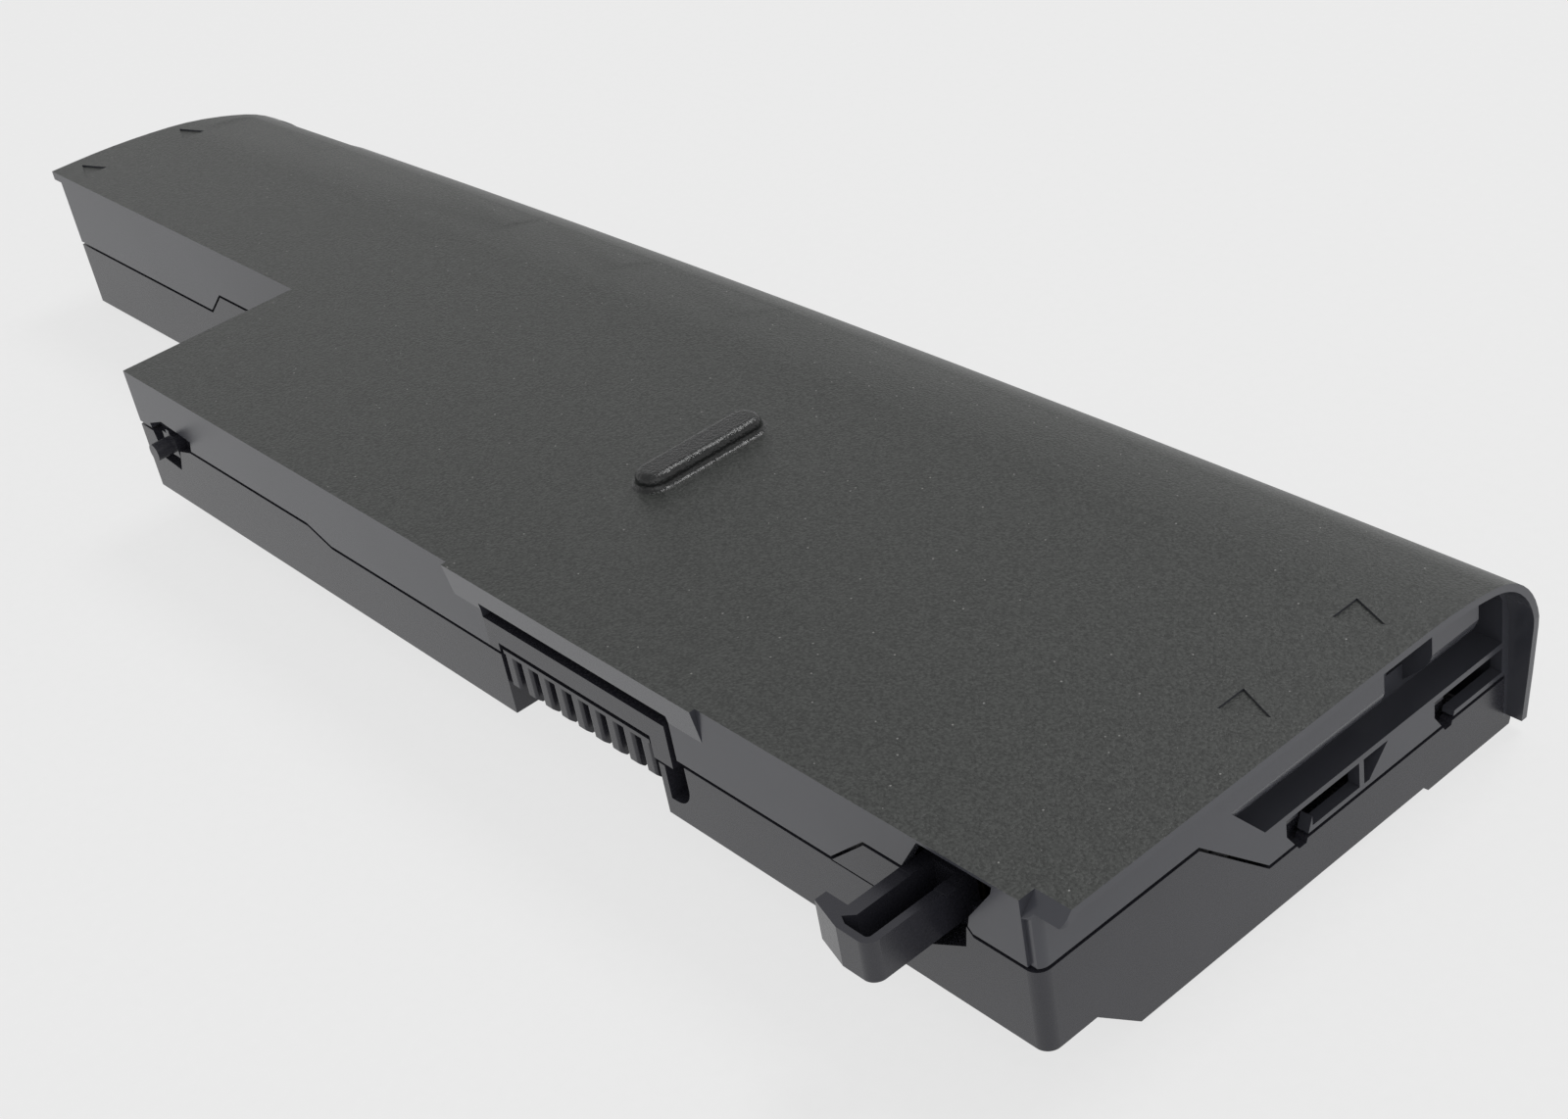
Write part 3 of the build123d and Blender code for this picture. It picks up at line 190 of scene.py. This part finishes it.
# Leads: stranded copper in extruded PVC, red for the pack's ends and yellow for the taps.
# The skin is smooth, with a slight orange peel from the extruder.
orange_peel = 0.6 * mm
for finish_name, dark, light, name in [
    ("red_pvc_wire", "#7d1512", "#931d18", "power_leads"),
    ("yellow_pvc_wire", "#b8901c", "#caa12a", "sense_leads"),
]:
    wire, tree, shader = new_finish(finish_name)
    place = add_node(tree, "ShaderNodeTexCoord")
    peel = add_node(tree, "ShaderNodeTexNoise", {
        "Vector": place.outputs["Object"], "Scale": 1 / orange_peel})
    tone = add_node(tree, "ShaderNodeValToRGB", {"Fac": peel.outputs["Fac"]})
    tone.color_ramp.elements[0].color = linear(dark)
    tone.color_ramp.elements[1].color = linear(light)
    tree.links.new(tone.outputs["Color"], shader.inputs["Base Color"])
    shader.inputs["Roughness"].default_value = 0.45
    dress(wire, name)

# Contacts: forked blades stamped from phosphor bronze and gold plated, one in each comb slot.
# The thin plating keeps the fine lines of the stamped strip.
strip_line = 0.4 * mm
plated, tree, shader = new_finish("gold_plated_bronze")
place = add_node(tree, "ShaderNodeTexCoord")
drawn = add_node(tree, "ShaderNodeTexNoise", {
    "Vector": place.outputs["Object"], "Scale": 1 / strip_line, "Detail": 3.0})
matt = add_node(tree, "ShaderNodeMapRange", {
    "Value": drawn.outputs["Fac"], "To Min": 0.2, "To Max": 0.4})
tree.links.new(matt.outputs["Result"], shader.inputs["Roughness"])
shader.inputs["Base Color"].default_value = linear("#d0a85a")
shader.inputs["Metallic"].default_value = 1.0
dress(plated, "connector_contacts")

# Connector housing: the hood, its leg and the comb of fins, moulded in one piece of glass-filled plastic.
# It is set into the front wall between the two shells, and it has the same satin grey as the case.
dress(satin_abs, "connector_housing")

# Top cover: the outer shell with the bowed back, moulded in ABS of the same grey.
# Its mould is spark eroded where the hand touches the pack, on the top face and round the back turn,
# while the upright walls, the groove and the undersides are as smooth as the case.
cover_height = 23.25 * mm
cover_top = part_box("bottom_case")[0][2] + cover_height
cover_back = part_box("top_cover")[1][1]
grained_abs, tree, shader = new_finish("spark_eroded_abs")
place = add_node(tree, "ShaderNodeTexCoord")
facing = add_node(tree, "ShaderNodeSeparateXYZ", {"Vector": place.outputs["Normal"]})
point = add_node(tree, "ShaderNodeSeparateXYZ", {"Vector": place.outputs["Object"]})

# the eroded part: level faces in the top 2 mm, the outer side of the back turn, and the grip bar
top_band = 2 * mm
back_band = 7.5 * mm
bar_foot = 0.02 * mm
level_face, outer_face, flat_face = 0.75, 0.3, 0.9
upward = add_node(tree, "ShaderNodeMath", {
    0: facing.outputs["Z"], 1: level_face}, operation="GREATER_THAN")
proud = add_node(tree, "ShaderNodeMath", {
    0: point.outputs["Z"], 1: cover_top - top_band}, operation="GREATER_THAN")
top_skin = add_node(tree, "ShaderNodeMath", {
    0: upward.outputs["Value"], 1: proud.outputs["Value"]}, operation="MULTIPLY")
outward = add_node(tree, "ShaderNodeMath", {
    0: facing.outputs["Z"], 1: facing.outputs["Y"]}, operation="MAXIMUM")
turned = add_node(tree, "ShaderNodeMath", {
    0: outward.outputs["Value"], 1: outer_face}, operation="GREATER_THAN")
steep = add_node(tree, "ShaderNodeMath", {
    0: facing.outputs["Z"], 1: flat_face}, operation="LESS_THAN")
far = add_node(tree, "ShaderNodeMath", {
    0: point.outputs["Y"], 1: cover_back - back_band}, operation="GREATER_THAN")
round_back = add_node(tree, "ShaderNodeMath", {
    0: turned.outputs["Value"], 1: steep.outputs["Value"]}, operation="MULTIPLY")
back_skin = add_node(tree, "ShaderNodeMath", {
    0: round_back.outputs["Value"], 1: far.outputs["Value"]}, operation="MULTIPLY")
outer = add_node(tree, "ShaderNodeMath", {
    0: top_skin.outputs["Value"], 1: back_skin.outputs["Value"]}, operation="MAXIMUM")
grip_bar = add_node(tree, "ShaderNodeMath", {
    0: point.outputs["Z"], 1: cover_top + bar_foot}, operation="GREATER_THAN")
eroded = add_node(tree, "ShaderNodeMath", {
    0: outer.outputs["Value"], 1: grip_bar.outputs["Value"]}, operation="MAXIMUM")

# the pits are drawn 0.3 mm wide, a few times coarser than real erosion, so that they show
pit_size = 0.3 * mm
pits = add_node(tree, "ShaderNodeTexNoise", {
    "Vector": place.outputs["Object"], "Scale": 1 / pit_size, "Detail": 3.0})
pit_tone = add_node(tree, "ShaderNodeValToRGB", {"Fac": pits.outputs["Fac"]})
pit_tone.color_ramp.elements[0].position = 0.35
pit_tone.color_ramp.elements[0].color = linear("#1f211f")
pit_tone.color_ramp.elements[1].position = 0.7
pit_tone.color_ramp.elements[1].color = linear("#3e403e")
flow = add_node(tree, "ShaderNodeTexNoise", {
    "Vector": place.outputs["Object"], "Scale": 1 / flow_cloud, "Detail": 3.0})
smooth_tone = add_node(tree, "ShaderNodeValToRGB", {"Fac": flow.outputs["Fac"]})
smooth_tone.color_ramp.elements[0].position = 0.3
smooth_tone.color_ramp.elements[0].color = linear("#3c3d43")
smooth_tone.color_ramp.elements[1].position = 0.7
smooth_tone.color_ramp.elements[1].color = linear("#404147")

# painted glints: a few tips of the grain, one in fourteen, are painted bright grey as highlights that
# catch the light, drawn 0.2 mm wide so that they show
glint_spacing = 0.9 * mm
glint_radius = 0.12
glint_draw = 0.93
glint_cells = add_node(tree, "ShaderNodeTexVoronoi", {
    "Vector": place.outputs["Object"], "Scale": 1 / glint_spacing})
lot = add_node(tree, "ShaderNodeSeparateColor", {"Color": glint_cells.outputs["Color"]})
rare = add_node(tree, "ShaderNodeMath", {
    0: lot.outputs["Red"], 1: glint_draw}, operation="GREATER_THAN")
small = add_node(tree, "ShaderNodeMath", {
    0: glint_cells.outputs["Distance"], 1: glint_radius}, operation="LESS_THAN")
painted_glint = add_node(tree, "ShaderNodeMath", {
    0: rare.outputs["Value"], 1: small.outputs["Value"]}, operation="MULTIPLY")
# the painted highlight specks are mixed into the pit tone of the grain here
grain_and_painted_glints = add_node(tree, "ShaderNodeMix", {
    "Factor": painted_glint.outputs["Value"], 6: pit_tone.outputs["Color"], 7: linear("#7c7c7a")},
    data_type="RGBA")
gripped = add_node(tree, "ShaderNodeMix", {
    "Factor": grip_bar.outputs["Value"], 6: grain_and_painted_glints.outputs[2], 7: linear("#1a1b1b")},
    data_type="RGBA")
colour = add_node(tree, "ShaderNodeMix", {
    "Factor": eroded.outputs["Value"], 6: smooth_tone.outputs["Color"], 7: gripped.outputs[2]},
    data_type="RGBA")
tree.links.new(colour.outputs[2], shader.inputs["Base Color"])

# the grain is duller than the smooth walls, and hands have polished it on the bar
matt = add_node(tree, "ShaderNodeMapRange", {
    "Value": eroded.outputs["Value"], "To Min": 0.25, "To Max": 0.4})
rubbed = add_node(tree, "ShaderNodeMapRange", {
    "Value": grip_bar.outputs["Value"], "To Min": 1.0, "To Max": 0.5})
handled = add_node(tree, "ShaderNodeMath", {
    0: matt.outputs["Result"], 1: rubbed.outputs["Result"]}, operation="MULTIPLY")
tree.links.new(handled.outputs["Value"], shader.inputs["Roughness"])

# true normal of the back turn: an arc of 8.9 mm swept on a bow of 3.77 m, smoother than the facets
bow_radius = 3770 * mm
bow_centre = (72.2 * mm, cover_back - bow_radius, 0)
arc_radius = 8.915 * mm
arc_drop = 9.818 * mm
arc_start = 7.15 * mm
same_side = 0.6
from_bow = add_node(tree, "ShaderNodeVectorMath", {
    0: place.outputs["Object"], 1: bow_centre}, operation="SUBTRACT")
level = add_node(tree, "ShaderNodeVectorMath", {
    0: from_bow.outputs["Vector"], 1: (1, 1, 0)}, operation="MULTIPLY")
reach = add_node(tree, "ShaderNodeVectorMath", {0: level.outputs["Vector"]}, operation="LENGTH")
aim = add_node(tree, "ShaderNodeVectorMath", {0: level.outputs["Vector"]}, operation="NORMALIZE")
out = add_node(tree, "ShaderNodeMath", {
    0: reach.outputs["Value"], 1: bow_radius - arc_radius}, operation="SUBTRACT")
over = add_node(tree, "ShaderNodeMath", {
    0: point.outputs["Z"], 1: cover_top - arc_drop}, operation="SUBTRACT")
up = add_node(tree, "ShaderNodeMath", {0: over.outputs["Value"], 1: 0.0}, operation="MAXIMUM")
lift = add_node(tree, "ShaderNodeCombineXYZ", {"Z": up.outputs["Value"]})
across = add_node(tree, "ShaderNodeVectorMath", {
    0: aim.outputs["Vector"], "Scale": out.outputs["Value"]}, operation="SCALE")
whole = add_node(tree, "ShaderNodeVectorMath", {
    0: across.outputs["Vector"], 1: lift.outputs["Vector"]}, operation="ADD")
arc_normal = add_node(tree, "ShaderNodeVectorMath", {0: whole.outputs["Vector"]}, operation="NORMALIZE")
along = add_node(tree, "ShaderNodeVectorMath", {
    0: arc_normal.outputs["Vector"], 1: place.outputs["Normal"]}, operation="DOT_PRODUCT")
same = add_node(tree, "ShaderNodeMath", {
    0: along.outputs["Value"], 1: same_side}, operation="GREATER_THAN")
behind = add_node(tree, "ShaderNodeMath", {
    0: reach.outputs["Value"], 1: bow_radius - arc_start}, operation="GREATER_THAN")
turned_skin = add_node(tree, "ShaderNodeMath", {
    0: same.outputs["Value"], 1: behind.outputs["Value"]}, operation="MULTIPLY")
true_normal = add_node(tree, "ShaderNodeMix", {
    "Factor": turned_skin.outputs["Value"], 4: place.outputs["Normal"], 5: arc_normal.outputs["Vector"]},
    data_type="VECTOR")

# the pits stand on that normal, faint on the smooth walls and deepest on the bar
skin_depth = 0.09 * mm
bar_depth = 0.13 * mm
strength = add_node(tree, "ShaderNodeMapRange", {
    "Value": eroded.outputs["Value"], "To Min": 0.06, "To Max": 0.8})
depth = add_node(tree, "ShaderNodeMapRange", {
    "Value": grip_bar.outputs["Value"], "To Min": skin_depth, "To Max": bar_depth})
erosion = add_node(tree, "ShaderNodeBump", {
    "Height": pits.outputs["Fac"], "Strength": strength.outputs["Result"],
    "Distance": depth.outputs["Result"], "Normal": true_normal.outputs[1]})
tree.links.new(erosion.outputs["Normal"], shader.inputs["Normal"])
shader.inputs["IOR"].default_value = 1.5
dress(grained_abs, "top_cover")

# Stage: a pale paper floor, a compact soft box above and behind, a wide weak one in front, and a camera
# where the photographer stood. The world fills the shadows evenly, and the plastic mirrors the paper
# and a backdrop that fades from pale at the horizon to grey overhead.
paper_half = 2.5
pulp_fleck = 1.5 * mm
mirrored_share, camera_share = 0.95, 0.88
paper = bpy.data.meshes.new("paper_floor")
sheet = bmesh.new()
bmesh.ops.create_grid(sheet, x_segments=1, y_segments=1, size=paper_half)
sheet.to_mesh(paper)
sheet.free()
floor = bpy.data.objects.new("paper_floor", paper)
bpy.context.scene.collection.objects.link(floor)
white_paper, tree, shader = new_finish("white_paper")
place = add_node(tree, "ShaderNodeTexCoord")
pulp = add_node(tree, "ShaderNodeTexNoise", {
    "Vector": place.outputs["Object"], "Scale": 1 / pulp_fleck})
tone = add_node(tree, "ShaderNodeValToRGB", {"Fac": pulp.outputs["Fac"]})
tone.color_ramp.elements[0].color = linear("#eaeaea")
tone.color_ramp.elements[1].color = linear("#ececec")
tree.links.new(tone.outputs["Color"], shader.inputs["Base Color"])
shader.inputs["Roughness"].default_value = 0.9
shader.inputs["Specular IOR Level"].default_value = 0.1
seen = add_node(tree, "ShaderNodeLightPath")
mirrored = add_node(tree, "ShaderNodeMath", {
    0: seen.outputs["Is Glossy Ray"], 1: seen.outputs["Is Transmission Ray"]}, operation="MAXIMUM")
dimmed = add_node(tree, "ShaderNodeMath", {
    0: mirrored.outputs["Value"], 1: mirrored_share}, operation="MULTIPLY")
direct = add_node(tree, "ShaderNodeMath", {
    0: seen.outputs["Is Camera Ray"], 1: camera_share}, operation="MULTIPLY")
share = add_node(tree, "ShaderNodeMath", {
    0: dimmed.outputs["Value"], 1: direct.outputs["Value"]}, operation="MAXIMUM")
glow = add_node(tree, "ShaderNodeEmission", {"Color": tone.outputs["Color"], "Strength": 1.0})
sheet_look = add_node(tree, "ShaderNodeMixShader", {
    "Fac": share.outputs["Value"], 1: shader.outputs["BSDF"], 2: glow.outputs["Emission"]})
tree.links.new(sheet_look.outputs["Shader"], tree.nodes["Material Output"].inputs["Surface"])
paper.materials.append(white_paper)

horizon, overhead = 0.96, 0.48
fade_height = 0.6
world = bpy.data.worlds.new("studio")
bpy.context.scene.world = world
world.use_nodes = True
tree = world.node_tree
air = tree.nodes["Background"]
air.inputs["Color"].default_value = linear("#ffffff")
air.inputs["Strength"].default_value = 0.55
seen = add_node(tree, "ShaderNodeLightPath")
mirrored = add_node(tree, "ShaderNodeMath", {
    0: seen.outputs["Is Glossy Ray"], 1: seen.outputs["Is Transmission Ray"]}, operation="MAXIMUM")
direct = add_node(tree, "ShaderNodeMath", {
    0: mirrored.outputs["Value"], 1: seen.outputs["Is Camera Ray"]}, operation="MAXIMUM")
sky = add_node(tree, "ShaderNodeTexCoord")
rise = add_node(tree, "ShaderNodeSeparateXYZ", {"Vector": sky.outputs["Generated"]})
fade = add_node(tree, "ShaderNodeMapRange", {
    "Value": rise.outputs["Z"], "From Max": fade_height, "To Min": horizon, "To Max": overhead})
backdrop = add_node(tree, "ShaderNodeBackground", {
    "Color": linear("#ffffff"), "Strength": fade.outputs["Result"]})
around = add_node(tree, "ShaderNodeMixShader", {
    "Fac": direct.outputs["Value"], 1: air.outputs["Background"], 2: backdrop.outputs["Background"]})
tree.links.new(around.outputs["Shader"], tree.nodes["World Output"].inputs["Surface"])

for lamp_name, watts, size, spot, tilt in [
    ("soft_box_above", 10.5, 0.5, (0.12, 0.77, 1.40), (29, 0, 171)),
    ("soft_box_front", 3.0, 1.0, (1.1, -0.4, 0.8), (55, 0, 70)),
]:
    lamp = bpy.data.lights.new(lamp_name, "AREA")
    lamp.energy = watts
    lamp.size = size
    box = bpy.data.objects.new(lamp_name, lamp)
    box.location = spot
    box.rotation_euler = [radians(angle) for angle in tilt]
    bpy.context.scene.collection.objects.link(box)

camera = bpy.data.cameras.new("camera")
camera.sensor_width = 36.0
camera.lens = 54.98
camera.shift_x = 0.0052
camera.shift_y = 0.0086
camera.clip_start = 0.01
eye = bpy.data.objects.new("camera", camera)
eye.location = (0.23382, -0.13067, 0.16117)
eye.rotation_euler = [radians(angle) for angle in (56.253, 9.065, 48.848)]
bpy.context.scene.collection.objects.link(eye)
bpy.context.scene.camera = eye
bpy.context.scene.view_settings.view_transform = "Standard"
